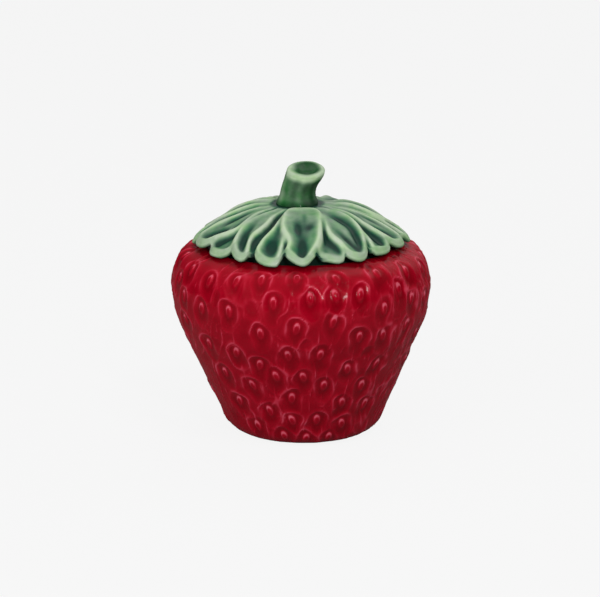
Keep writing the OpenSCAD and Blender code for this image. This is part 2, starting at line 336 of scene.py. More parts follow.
# %% [markdown]
# ## The pot
# The skin runs from the middle of the underside out over the foot ring, up the outside, over the
# lip and down the inside to the middle of the floor. Only the outside needs fine rings, so the
# number of points is halved twice under the foot and again under the lid.

# %% Build the pot
SAG, SAG_FROM = 1.2, (4, 55)
HALF_RING, QUARTER_RING = COLUMNS // 2, COLUMNS // 4
LIP_POINTS, INSIDE_POINTS = 9, 14

r, z = outline_at(rows)
out, up = outline_normal(rows)
out_r = r[:, None] + out[:, None] * relief
out_z = np.maximum(0, z[:, None] + up[:, None] * relief)
angle = np.radians(col_a)
# the cast sags a little to the right towards its foot
sag = SAG * (1 - smooth(*SAG_FROM, z))[:, None]
outside = np.stack([out_r * np.cos(angle) + sag, out_r * np.sin(angle), out_z], 2)

ring_r = FOOT_R - FOOT_RING
recess = [circle(QUARTER_RING, 10, FOOT_RECESS), circle(QUARTER_RING, ring_r - 2.6, FOOT_RECESS)]
foot_ring = [circle(QUARTER_RING, ring_r - 0.5, 0.4), circle(HALF_RING, ring_r + 0.6, 0),
             circle(COLUMNS, FOOT_R - 1.6, 0)]
for ring in recess + foot_ring:
    ring[:, 0] += sag[0]
# under the lid the slope turns down to the flat ring that the lid rests on
top = [circle(HALF_RING, SLOPE_R - 3.4, slope_z - 0.1), circle(HALF_RING, SLOPE_R - 4.6, slope_z - 0.9),
       circle(QUARTER_RING, SLOPE_R - 5.1, JAR_H + 0.4), circle(QUARTER_RING, SLOPE_R - 5.6, JAR_H)]
lip_c = np.array([MOUTH_R + WALL / 2, JAR_H - WALL / 2])
lip = arc(lip_c, WALL / 2, math.pi / 2, 1.5 * math.pi, LIP_POINTS)
inner_line = without_repeats(pot_outline(WALL, INSIDE_POINTS)[::-1])
inner_floor = [[20, WALL], [9, WALL]]
inner = [circle(QUARTER_RING, *place) for place in np.concatenate([lip, inner_line, inner_floor])]
pot = skin_from_rings("strawberry_pot", [*recess, *foot_ring, *outside, *top, *inner])
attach(pot, "jar")
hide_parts("jar_body")

# %% [markdown]
# Molten glaze runs off whatever stands up and gathers in what lies low. So it is thin on ridges and
# round each seed, and deeper in the bowls and round the seed's foot. The upper half of each seed's
# rim is painted paler as a highlight, and a band just under the leaves is painted darkest, as their
# shade. The foot ring was wiped clean, or the jar would have stuck to the kiln shelf.

# %% Glaze on the pot
PLAIN_GLAZE, UNSEEN_GLAZE = 0.45, 0.5
THINNED, POOLED, PAINTED_SHADE_UNDER_LEAVES = 0.42, 0.3, 0.5
SHADE_UNDER_LEAVES_FROM = (OUTLINE - 8.0, OUTLINE - 4.5)


def flat(rings, value):
    """The same number for all points of some rings."""
    return [np.full(len(ring), value) for ring in rings]


# each seed's rim is thin glaze, and its upper half is painted paler as a highlight
seed_rim_and_top_highlight = bump_at(0.85, 0.28, from_seed) * (0.55 + 0.45 * np.clip(up_seed, -1, 1))
halo = bump_at(0, 1.9, from_ridge) * crest * (0.3 + 0.7 * uneven)
thin = np.maximum(0.8 * ridge, 0.4 * halo) + seed_rim_and_top_highlight + 0.4 * smooth(1.0, 0.6, from_seed)
thin = np.clip(thin, 0, 1)
pooled = 0.8 * hollow + 0.5 * smooth(2.4, 1.1, from_seed) + 0.22 * patches
pooled = np.clip(pooled, 0, 1) * (1 - thin)
# a band just under the leaves is painted darkest, as the shade of the leaves
glaze = PLAIN_GLAZE + fade * (POOLED * pooled - THINNED * thin) + PAINTED_SHADE_UNDER_LEAVES * smooth(*SHADE_UNDER_LEAVES_FROM, row_s)
glaze = np.clip(glaze, 0, 1)
paint(pot, "glaze", [*flat(recess + foot_ring, UNSEEN_GLAZE), *glaze, *flat(top + inner, UNSEEN_GLAZE)])
paint(pot, "bare", [*flat(recess, 0.0), *flat(foot_ring, 1.0), *flat([*outside, *top, *inner], 0.0)])
print(f"glaze on the pot: {glaze.min():.2f} to {glaze.max():.2f}, mean {glaze.mean():.2f}")

# %% [markdown]
# ## The leaves of the lid
# The lid came out of a mould in one pull, so nothing on it is undercut: seen from above it has one
# height at every place. That makes it a height map. Each leaf is a thick pad with a rounded rim,
# dented by a tool along its veins, and the height at a place is that of the highest leaf there.
# A leaf is drawn as an outline from root to tip, and a few leaf shapes serve all round the lid.

# %% Leaf shapes
# outline: millimetres out from the lid's axis, millimetres to the right of the leaf's own line
# dents: middle (out, right), half length, half width, turn in degrees, depth
LEAF_SHAPES = {
    "long": dict(
        outline=[(11.5, -2), (29, -5), (38, -6), (46.5, -8.5), (50.5, -8), (53, -2), (52, 6), (46, 10),
                 (40, 13), (34, 13), (24, 7), (11.5, 2.5)],
        dents=[(43.5, 3, 8.5, 2.5, -40, 2.5), (32.5, -0.5, 7, 1.9, 0, 2.0), (32, 7, 5, 1.2, 25, 1.0)]),
    "tucked": dict(
        outline=[(25.5, -6), (36, -7), (43, -6.5), (48.5, -7), (52, -3.5), (52.5, 3), (49.5, 8), (45, 8.5),
                 (39, 5.5), (26, 0.5)],
        dents=[(44, -2.5, 7, 2.9, -24, 2.3)]),
    "oval": dict(
        outline=[(11.5, -2.5), (21, -6.5), (31, -9.5), (39, -9), (46.5, -6), (51, -0.5), (52, 5), (49, 7.5),
                 (44, 4.5), (40, 3.2), (31.5, 4.5), (21.5, 2.5), (11.5, 2)],
        dents=[(43.5, -0.5, 6, 2.4, 32, 2.9), (35.5, -3.5, 5, 1.7, 8, 1.5)]),
    "teardrop": dict(
        outline=[(11.5, -2), (23, -3.5), (33, -4.5), (41, -7.5), (47, -8.2), (51, -5), (53, 1), (52, 5.5),
                 (48, 6.4), (36, 5), (25, 3.2), (11.5, 2.2)],
        dents=[(43.5, -0.5, 5.2, 3.3, 14, 2.9), (34, -1, 6, 1.3, 8, 0.7)]),
    "front": dict(
        outline=[(13.4, -6), (13.2, 0.5), (13.4, 7), (18, 9.5), (28, 10), (38, 9.8), (45, 7.5), (51, 3),
                 (52.6, -0.5), (50.5, -5.5), (46, -9.4), (41.5, -8.2), (34, -10.8), (26, -10.8), (17, -8.6)],
        dents=[(44.5, -0.5, 6.6, 2.8, -4, 2.9), (31, 0, 7.5, 4.6, 0, 1.3), (32.5, -2.5, 5.8, 1.8, 4, 1.9),
               (31.5, 3.5, 3.6, 2, -30, 1.2), (23.5, 1, 4.5, 1, 0, 0.6)]),
    "angular": dict(
        outline=[(22, -1.6), (33, -3.5), (42, -5.5), (47, -6), (48.6, -2), (49.7, 2.5), (48.5, 6), (45, 7.2),
                 (41, 5.8), (35, 4.8), (22, 3.2)],
        dents=[(40.5, 2, 7, 2.4, 27, 2.6)]),
    "forked": dict(
        outline=[(11.5, -2.5), (19, -2.5), (28, -5.5), (36.5, -8.5), (43, -6.5), (49, -4.5), (51.8, 0.5),
                 (50, 6), (43, 10.5), (34, 13), (25.5, 12.5), (17.5, 9.5), (11.5, 4)],
        dents=[(27, 5, 7.6, 3, 17, 2.5), (41, 6, 9.2, 2.5, -9, 2.7), (42, 0.5, 7.2, 1.6, 21, 2.0)]),
    "wedge": dict(
        outline=[(17.5, -2.5), (26, -2), (34, -2.5), (42, -5), (48.5, -8.5), (51, -5), (51, 3), (47, 8),
                 (41.5, 9), (28, 6.5), (17.5, 2.5)],
        dents=[(42, 1.5, 9.4, 3.4, 2, 2.6)]),
    "slim": dict(
        outline=[(11.5, -2.5), (24, -4.5), (33, -8), (42, -8.4), (49.5, -6.5), (52, -2), (51.8, 4), (49, 7.2),
                 (42, 7), (26, 4), (11.5, 2.5)],
        dents=[(42, -2, 7.6, 1.9, 28, 2.2), (34.5, 2.5, 7, 1.4, 8, 1.5), (27, -1, 5, 1.2, -8, 1.0)]),
}
# degrees from the front, shape, mirrored, lift and droop of the tip in millimetres, reach
LEAVES = [
    (1.5, "front", False, 1.6, 1.6, 1.0), (18.5, "angular", False, -0.8, 2.4, 1.0),
    (33, "forked", False, 0.9, 1.5, 1.0), (55, "wedge", False, -0.2, 0.0, 1.0),
    (73, "slim", False, 0.7, 0.0, 1.01), (93, "oval", True, 0.0, -1.4, 1.045),
    (110, "long", True, 2.0, 1.4, 1.0), (126, "tucked", False, 1.4, 2.6, 1.0),
    (143, "forked", True, 1.8, 1.8, 1.0), (161, "wedge", True, 0.8, 1.8, 1.0),
    (178, "long", False, 2.1, 2.0, 1.0), (196, "angular", True, 0.6, 3.2, 1.02),
    (213, "teardrop", True, 1.6, 1.8, 1.0), (231, "wedge", False, 2.0, 3.0, 1.0),
    (249, "slim", True, 1.0, 0.6, 1.0), (268, "oval", False, -0.3, -1.0, 1.04),
    (286, "long", False, 0.6, -1.0, 1.01), (304.5, "tucked", False, -1.1, 0.0, 1.0),
    (320.5, "oval", False, 0.3, 0.6, 1.0), (341.5, "teardrop", False, 0.3, 0.8, 1.0)]
print(f"{len(LEAVES)} leaves of {len(LEAF_SHAPES)} shapes")

# %% [markdown]
# The few points of an outline are joined by a smooth curve. To find how high a leaf is at a place,
# its distance from that curve has to be known, on which side of it the place lies, and how deep the
# tool marks are there.

# %% Helpers for leaf outlines
def rounded(points, between=5):
    """A closed smooth line through the points (Catmull-Rom)."""
    b = np.array(points, float)
    a, c, d = np.roll(b, 1, 0), np.roll(b, -1, 0), np.roll(b, -2, 0)
    line = []
    for t in np.arange(between) / between:
        square, cube = 2 * a - 5 * b + 4 * c - d, 3 * b - a - 3 * c + d
        line.append(0.5 * (2 * b + (c - a) * t + square * t ** 2 + cube * t ** 3))
    return np.stack(line, 1).reshape(-1, 2)


def inside_by(x, y, line):
    """How far inside a closed line each place lies; outside is negative."""
    near = np.full(x.shape, np.inf)
    crossings = np.zeros(x.shape, int)
    for (ax, ay), (bx, by) in zip(line, np.roll(line, -1, 0)):
        dx, dy = bx - ax, by - ay
        t = np.clip(((x - ax) * dx + (y - ay) * dy) / (dx * dx + dy * dy), 0, 1)
        near = np.minimum(near, (x - ax - t * dx) ** 2 + (y - ay - t * dy) ** 2)
        if ay != by:
            crossings += ((ay > y) != (by > y)) & (x < ax + (y - ay) * dx / dy)
    return np.where(crossings % 2 == 1, 1, -1) * np.sqrt(near)


def dent(out, right, mark):
    """A tool mark with soft edges, as deep as its last number says."""
    at, side, half_long, half_wide, turn, depth = mark
    c, s = math.cos(math.radians(turn)), math.sin(math.radians(turn))
    along = (out - at) * c + (right - side) * s
    across = (right - side) * c - (out - at) * s
    return depth * np.exp(-1.2 * ((along / half_long) ** 2 + (across / half_wide) ** 2))


print("points on the longest leaf outline:", max(len(rounded(s["outline"])) for s in LEAF_SHAPES.values()))

# %% [markdown]
# ## Height of a leaf
# The distance of a place from the leaf's edge decides its height there: at the edge the rim turns
# over in a quarter round, a little way in it swells, and inside it the dents go down. All leaves
# start from one canopy, a dome that is flat at the crown and falls ever faster towards the tips.
# On the way out a leaf lifts off the canopy, thickens, comes free of its neighbours and droops.

# %% Canopy and leaf heights
CROWN_R, CROWN_Z, TIP_R = 13.24, 115.6, 53.0
CROWN_DIP, DIP_SHARE, CANOPY_DROP, CANOPY_POWER = 0.7, 0.12, 16.0, 1.85
EDGE_ROUND, RIM_SWELL, SWELL_IN, SWELL_W = 1.8, 0.3, 1.9, 1.3
LEAF_DISH, MARK_DEPTH, DEEPEST_MARK, SKIRT_FALL = 1.25, 0.62, 2.6, 2.0
# where each of these begins and is complete, in millimetres out from the lid's axis
LIFTS, FRONT_LIFTS, THICKENS, DROOPS = (11, 26), (8, 15), (16, 34), (34, 53)
MARKS_BEGIN, COMES_FREE = (9, 19), (18, 40)
# the same in millimetres from the leaf's edge
MARKS_IN, DISH_IN, PALE_RIM_IN = (0.2, 3.0), (0.8, 5.0), (3.8, 0.4)
ROOT_GLAZE, LEAF_GLAZE = 0.3, 0.32


def canopy_z(radius):
    """Height of the dome that all leaves start from."""
    share = np.maximum(0, radius - CROWN_R) / (TIP_R - CROWN_R)
    return CROWN_Z - CROWN_DIP * smooth(0, DIP_SHARE, share) - CANOPY_DROP * share ** CANOPY_POWER


def leaf_surface(out, right, radius, shape_name, lift, droop):
    """Height of a leaf, how far inside its edge each place lies, and how deep the glaze pools there."""
    shape = LEAF_SHAPES[shape_name]
    inside = inside_by(out, right, rounded(shape["outline"]))
    lifted = smooth(*(FRONT_LIFTS if shape_name == "front" else LIFTS), out)
    edge_round = EDGE_ROUND * (0.45 + 0.55 * smooth(*THICKENS, out))
    turned = edge_round - np.clip(inside, 0, edge_round)
    height = canopy_z(radius) + lift * lifted - droop * smooth(*DROOPS, out)
    height += np.sqrt(edge_round ** 2 - turned ** 2) - edge_round - SKIRT_FALL * np.maximum(0, -inside)
    begun, free = smooth(*MARKS_BEGIN, out), smooth(*COMES_FREE, out)
    marks = sum(dent(out, right, mark) for mark in shape["dents"])
    marks = np.minimum(marks, DEEPEST_MARK) * smooth(*MARKS_IN, inside)
    swell = RIM_SWELL * free * bump_at(SWELL_IN, SWELL_W, inside)
    dish = LEAF_DISH * (0.4 + 0.6 * free) * smooth(*DISH_IN, inside)
    height += begun * (swell - dish - MARK_DEPTH * marks)
    pale_rim = (0.3 + 0.7 * free) * smooth(*PALE_RIM_IN, inside)
    pool = LEAF_GLAZE + 0.08 * free - 0.25 * pale_rim + 0.22 * marks
    return height, inside, begun * pool + ROOT_GLAZE * (1 - begun)


print(f"canopy falls {CROWN_Z - canopy_z(TIP_R):.1f} mm from crown to tips")

# %% [markdown]
# ## The lid as a height map
# The leaves are laid on a square map, a quarter of a millimetre to the step. Between the leaves lies
# a web, out of sight and well below them. Outside the tips the map goes on as a skirt that falls
# steeply, so that no step shows where the mesh ends.

# %% Lay the leaves
MAP_STEP, MAP_HALF = 0.25, 58.0
# the web between the leaves gets dark glaze, as painted shade
WEB_DROP, WEB_R, WEB_FROM, WEB_SHADE_GLAZE = 3.0, 46.8, (9, 30), 0.85
NOTHING, SKIRT_W = -99.0, 3.0
# no leaf goes further than this: nearest and furthest out, to either side
LEAF_BOX = (10, 57, 18)

side = np.arange(-MAP_HALF, MAP_HALF + MAP_STEP / 2, MAP_STEP)
map_x, map_y = np.meshgrid(side, side, indexing="ij")
map_r = np.hypot(map_x, map_y)
tops, skirt, covered = (np.full(map_x.shape, NOTHING) for _ in range(3))
pools = np.full(map_x.shape, WEB_SHADE_GLAZE)
for degrees, shape_name, mirrored, lift, droop, stretch in LEAVES:
    direction = math.radians(degrees - 90)
    out = map_x * math.cos(direction) + map_y * math.sin(direction)
    right = map_y * math.cos(direction) - map_x * math.sin(direction)
    here = (out > LEAF_BOX[0]) & (out < LEAF_BOX[1]) & (np.abs(right) < LEAF_BOX[2])
    leaf_right = -right[here] if mirrored else right[here]
    height, inside, pool = leaf_surface(out[here] / stretch, leaf_right, map_r[here], shape_name, lift, droop)
    on_top = (inside > 0) & (height > tops[here])
    pools[here] = np.where(on_top, pool, pools[here])
    tops[here] = np.where(on_top, height, tops[here])
    skirt[here] = np.maximum(skirt[here], np.where(inside > -SKIRT_W, height, NOTHING))
    covered[here] = np.maximum(covered[here], inside)
web = canopy_z(map_r) - WEB_DROP * smooth(*WEB_FROM, map_r)
between = np.where((map_r < WEB_R) | (skirt == NOTHING), web, skirt)
map_z = np.where(tops == NOTHING, between, np.maximum(tops, web))
drop = np.maximum(map_z - canopy_z(map_r), -WEB_DROP - 1)
print(f"map of {len(side)} by {len(side)} places, leaves on {np.mean(covered > 0):.0%} of it")

# %% [markdown]
# The glaze has softened all creases, so the map is blurred a little. A wider blur shows how far each
# place lies below its surroundings, and there the green glaze, which runs off the ridges, has
# collected.

# %% Soften the map
def blurred(field, sigma_mm):
    """Gaussian blur of the square map, one axis after the other."""
    n = int(3 * sigma_mm / MAP_STEP) + 1
    kernel = np.exp(-0.5 * (np.arange(-n, n + 1) * MAP_STEP / sigma_mm) ** 2)
    kernel /= kernel.sum()
    for axis in (0, 1):
        padded = np.pad(field, [(n, n) if k == axis else (0, 0) for k in (0, 1)], mode="edge")
        length = field.shape[axis]
        field = sum(w * np.take(padded, np.arange(i, i + length), axis) for i, w in enumerate(kernel))
    return field


def sampled(field, x, y):
    """Value of the square map at places between its points."""
    u, v = (x + MAP_HALF) / MAP_STEP, (y + MAP_HALF) / MAP_STEP
    i, j = np.floor(u).astype(int), np.floor(v).astype(int)
    a, b = u - i, v - j
    return ((1 - a) * (1 - b) * field[i, j] + a * (1 - b) * field[i + 1, j]
            + (1 - a) * b * field[i, j + 1] + a * b * field[i + 1, j + 1])


soft_drop = blurred(drop, 0.5)
soft_pools = blurred(pools, 0.55)
pool_near = blurred(drop, 1.5) - soft_drop
pool_wide = blurred(drop, 3.6) - soft_drop
print(f"leaves up to {soft_drop.max():.1f} mm over the canopy, the web {-soft_drop.min():.1f} mm under it")

# %% [markdown]
# The map is then carried over to spokes that run from the crown to the outline of the leaves,
# so that the rows of the mesh follow the scalloped edge.

# %% Spokes and outline of the lid
SPOKES, LID_ROWS, ROOT_R, ROW_CROWDING = 720, 106, 9.0, 1.35
PROBE_END, PROBE_STEP, EDGE_IN = 56, 0.05, 0.3
spoke = np.arange(SPOKES) * TAU / SPOKES
probe_r, probe_a = np.meshgrid(np.arange(WEB_R, PROBE_END, PROBE_STEP), spoke, indexing="ij")
reached = sampled(covered, probe_r * np.cos(probe_a), probe_r * np.sin(probe_a)) > EDGE_IN
outline_r = np.max(np.where(reached, probe_r, WEB_R), axis=0)
for _ in range(2):
    outline_r = 0.25 * np.roll(outline_r, 1) + 0.5 * outline_r + 0.25 * np.roll(outline_r, -1)
# the rows lie closer towards the edge, where the leaves turn down
row_share = 1 - (1 - np.linspace(0, 1, LID_ROWS)) ** ROW_CROWDING
lid_r = ROOT_R + (outline_r[None, :] - ROOT_R) * row_share[:, None]
lid_x, lid_y = lid_r * np.cos(spoke), lid_r * np.sin(spoke)
lid_z = canopy_z(lid_r) + sampled(soft_drop, lid_x, lid_y)
print(f"leaf outline from {outline_r.min():.1f} to {outline_r.max():.1f} mm, top at {lid_z.max():.1f} mm")

# %% [markdown]
# ## Build the lid
# The skin goes over the leaves, round their thick edge and back underneath: a flat ring that rests
# on the pot, a spigot that keeps the lid from sliding off, and the hollow inside.

# %% Rings of the lid
SEAT_R, SPIGOT_OUT, SPIGOT_IN, SPIGOT_DEPTH, LID_WALL = 44.0, 37.0, 33.0, 7.5, 5.0
TIP_GAP, TIP_THICK, THINNEST_TIP = 2.4, 2.2, 0.9
# the round of the edge: millimetres outwards, share of the way down, glaze
EDGE = [(0.2, 0.12, 0.16), (0.38, 0.28, 0.2), (0.5, 0.46, 0.26), (0.52, 0.62, 0.34),
        (0.38, 0.82, 0.44), (-0.05, 0.95, 0.6), (-1.0, 1.0, 0.8)]

foot_z = np.maximum(lid_z[-1] - TIP_THICK, JAR_H + TIP_GAP)
lid_z[-1] = np.maximum(lid_z[-1], foot_z + THINNEST_TIP)
over = [*np.stack([lid_x, lid_y, lid_z], 2)]


def edge_ring(outwards, down):
    """The leaf outline moved outwards, on the way from the top of the edge to its foot."""
    edge_r = outline_r + outwards
    edge_z = lid_z[-1] + down * (foot_z - lid_z[-1])
    return np.stack([edge_r * np.cos(spoke), edge_r * np.sin(spoke), edge_z], 1)


edge = [edge_ring(outwards, down) for outwards, down, _ in EDGE]
seat_top = canopy_z(SEAT_R) - LID_WALL
spigot_z = JAR_H - SPIGOT_DEPTH
dome_z = canopy_z(SPIGOT_IN) - LID_WALL
seat = [(SEAT_R + 0.9, seat_top), (SEAT_R, seat_top - 1.2), (SEAT_R, JAR_H + 1),
        (SEAT_R - 0.3, JAR_H + 0.3), (SEAT_R - 1, JAR_H), (SPIGOT_OUT, JAR_H)]
spigot = [(SPIGOT_OUT, spigot_z + 1.2), (SPIGOT_OUT - 0.4, spigot_z + 0.4), (SPIGOT_OUT - 1.2, spigot_z),
          (SPIGOT_IN + 1.2, spigot_z), (SPIGOT_IN + 0.4, spigot_z + 0.4), (SPIGOT_IN, spigot_z + 1.2)]
dome = [(SPIGOT_IN, dome_z - 3), (SPIGOT_IN - 0.9, dome_z - 0.9), (SPIGOT_IN - 3, dome_z),
        (24, canopy_z(24) - LID_WALL), (16, CROWN_Z - LID_WALL - 0.1), (7, CROWN_Z - LID_WALL)]
below = seat + spigot + dome
below_rings = [circle(SPOKES // 2, *below[0]), *[circle(SPOKES // 4, *place) for place in below[1:]]]
lid = skin_from_rings("leaf_lid", [*over, *edge, *below_rings])
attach(lid, "lid")
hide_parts("lid")

# %% [markdown]
# The green glaze follows the pools found on the map. It is thin all along the tips of the leaves.
# The web in the gaps between them, the underside seen through the gaps and the crown round the foot
# of the stem are painted dark, as shade.

# %% Glaze on the lid
STEM_FOOT, STEM_SHADE = (-2.0, 1.0), (11.2, 16.5)
TIP_GLAZE, TIP_RIM, POOLS_IN = 0.2, (1.8, 0.5), (0.5, 3.5)
SHADED_GLAZE, HIDDEN_GLAZE = 1.0, 0.6
from_edge = outline_r - lid_r
from_stem = np.hypot(lid_x - STEM_FOOT[0], lid_y - STEM_FOOT[1])
run_in = 0.3 * sampled(pool_near, lid_x, lid_y) + 0.1 * sampled(pool_wide, lid_x, lid_y)
lid_glaze = 0.05 + sampled(soft_pools, lid_x, lid_y) + smooth(*POOLS_IN, from_edge) * run_in
on_tip = smooth(WEB_R, WEB_R + 2, outline_r)
lid_glaze += (TIP_GLAZE - lid_glaze) * on_tip * smooth(*TIP_RIM, from_edge)
lid_glaze = np.clip(np.maximum(lid_glaze, 1 - smooth(*STEM_SHADE, from_stem)), 0, 1)
# the edges in the gaps between the leaf tips, and the underside seen through them, are painted darkest, as
# shade
edge_glaze = [np.maximum(value, 1 - on_tip) for _, _, value in EDGE]
shaded = [SHADED_GLAZE if radius > SEAT_R - 0.5 else HIDDEN_GLAZE for radius, _ in below]
under_glaze = [np.full(len(ring), value) for ring, value in zip(below_rings, shaded)]
paint(lid, "glaze", [*lid_glaze, *edge_glaze, *under_glaze])
print(f"glaze on the lid: {lid_glaze.min():.2f} to {lid_glaze.max():.2f}, mean {lid_glaze.mean():.2f}")

# %% [markdown]
# ## The stem
# The stem was made by itself and stuck on with slip, so it is a piece of its own. It leans to the
# right, its end is cut at a slant and hollowed with a thumb, and shallow flutes run down its side.
# It is laid from rings whose middle wanders and whose plane tilts more and more towards the end.

# %% Shape of the stem
STEM_H, STEM_TILT, STEM_SIDES = 17.3, math.radians(15), 112
# share of the height, middle to the right of the axis, radius
STEM_SHAPE = np.array([
    (0.00, -2.0, 10.5), (0.05, -2.0, 10.45), (0.12, -2.0, 9.9), (0.22, -1.95, 9.05), (0.34, -1.8, 8.65),
    (0.48, -1.3, 8.6), (0.60, -0.5, 8.8), (0.72, 0.6, 9.2), (0.84, 1.6, 9.55), (0.93, 2.2, 9.6),
    (1.0, 2.4, 9.1)])
stem_a = np.arange(STEM_SIDES) * TAU / STEM_SIDES


def stem_curve(column, level):
    """A column of the stem's shape at a level: straight pieces, blurred with a short window."""
    fine = np.linspace(-0.2, 1.2, 561)
    line = np.interp(fine, STEM_SHAPE[:, 0], STEM_SHAPE[:, column])
    window = np.hanning(25)
    line = np.convolve(np.pad(line, 12, mode="edge"), window / window.sum(), "valid")
    return np.interp(level, fine, line)


def stem_ring(level, radius, rise=0.0, flute=1.0):
    """A tilted ring at a level of the stem, raised along its own axis, with part of the flutes."""
    flutes = 0.28 * np.cos(5 * stem_a + 0.6) + 0.12 * np.cos(9 * stem_a + 2 * level)
    q = radius + flute * (flutes + 0.1 * np.cos(2 * stem_a))
    tilt = STEM_TILT * level
    x = stem_curve(1, level) + q * np.cos(stem_a)
    y = STEM_FOOT[1] + q * np.sin(stem_a) * math.cos(tilt) - rise * math.sin(tilt)
    z = CROWN_Z + STEM_H * level + q * np.sin(stem_a) * math.sin(tilt) + rise * math.cos(tilt)
    return np.stack([x, y, z], 1)


print(f"stem {STEM_H} mm high, {2 * STEM_SHAPE[:, 2].min():.1f} mm across at its waist")

# %% [markdown]
# The side of the stem and its end are two stacks of rings. The end goes from the outer round of the
# thick rim over its crest and down into the hollow, which the thumb has pushed back and to the right.
# The glaze is dark at the foot and leaves the rim pale, furthest down at the right of the front.

# %% Build the stem
SIDE_RINGS, SIDE_END, FOOT_FAN = 46, 0.93, 6.0
RIM_R, RIM_CREST, RIM_UP, RIM_ROUND, RIM_RINGS = 9.5, 8.4, 0.2, 0.65, 15
HOLLOW_DEPTH, HOLLOW_FLOOR, HOLLOW_END = 3.2, 2.1, 1.1
HOLLOW_BACK, HOLLOW_RIGHT, SHIFTS = 2.6, 0.65, (8.8, 4.8)

# the hollow is moved along the slanting end, fully at the nearer of two distances from its middle
hollow_shift = np.array([HOLLOW_RIGHT, HOLLOW_BACK, HOLLOW_BACK * math.tan(STEM_TILT)])
stem_rings = [stem_ring(0, FOOT_FAN, flute=0)]
stem_glaze = [np.full(STEM_SIDES, 0.9)]
for level in np.linspace(0, SIDE_END, SIDE_RINGS):
    # the flutes die out towards both ends
    flute = math.sin(math.pi * min(level * 1.05, 1)) ** 0.7
    stem_rings.append(stem_ring(level, stem_curve(2, level), flute=flute))
    streaks = 0.05 * np.cos(11 * stem_a + 3 * level) - 0.07 * np.cos(5 * stem_a + 0.6)
    pale_from = 0.79 - 0.08 * np.cos(stem_a + math.pi / 4)
    pale_end = smooth(pale_from, pale_from + 0.2, level)
    depth = 0.94 - 0.3 * smooth(0, 0.25, level) + 0.06 * smooth(0.3, 0.6, level) - 0.62 * pale_end
    # the right side of the stem is painted darker and the left paler, as shade and light
    stem_glaze.append(np.clip(depth + streaks + 0.14 * np.cos(stem_a), 0, 1))
for share in np.linspace(0, 1, RIM_RINGS) ** 1.5:
    from_middle = RIM_R + (HOLLOW_END - RIM_R) * share
    outer = max(0, from_middle - RIM_CREST) / (RIM_R - RIM_CREST)
    rise = RIM_UP - RIM_ROUND * outer ** 2 - HOLLOW_DEPTH * smooth(RIM_CREST, HOLLOW_FLOOR, from_middle)
    shift = smooth(*SHIFTS, from_middle) * hollow_shift
    stem_rings.append(stem_ring(1, from_middle, rise, flute=0.25) + shift)
    depth = 0.08 + 0.06 * outer + 0.74 * smooth(8.8, 4.0, from_middle)
    stem_glaze.append(np.clip(depth + 0.25 * smooth(0.2, 1.0, np.sin(stem_a)), 0, 0.76))
stem = skin_from_rings("hollow_stem", stem_rings)
paint(stem, "glaze", stem_glaze)
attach(stem, "lid")
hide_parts("stem_knob")

# %% [markdown]
# ## Glazes
# The body is white earthenware under coloured lead-free glaze. Such a glaze is glass: clear gloss
# on top, colour that deepens with its thickness. It breaks pale over ridges and pools dark in
# hollows, which the "glaze" number on each point tells. Colours are sRGB hex values.

# %% Helpers for materials
def linear(hex_colour):
    """An sRGB hex colour as the linear RGBA that Blender works in."""
    channels = [int(hex_colour[i:i + 2], 16) / 255 for i in (1, 3, 5)]
    return [c / 12.92 if c <= 0.04045 else ((c + 0.055) / 1.055) ** 2.4 for c in channels] + [1.0]


def add(tree, kind, links=(), values=(), **settings):
    """Adds a node, sets its properties and inputs, and links other nodes' outputs to its inputs."""
    node = tree.nodes.new(kind)
    for key, value in settings.items():
        if hasattr(node, key):
            setattr(node, key, value)
        else:
            node.inputs[key.replace("_", " ")].default_value = value
    for socket, value in values:
        node.inputs[socket].default_value = value
    for socket, output in links:
        tree.links.new(output, node.inputs[socket])
    return node


def empty_tree(owner):
    """The cleared node tree of a material or world."""
    owner.use_nodes = True
    owner.node_tree.nodes.clear()
    return owner.node_tree


# %% [markdown]
# One function makes all three glazes. A colour ramp turns depth into colour. Cloudy noise shifts the
# depth a little, because a brushed or dipped glaze is never even. The clear gloss is a coat over a
# matt colour, with the ripple of a few millimetres that a fired surface has.

# %% A pooling glaze
PATCH_MM, RIPPLE_MM, RIPPLE_DEPTH_MM = 6, 2.5, 0.15


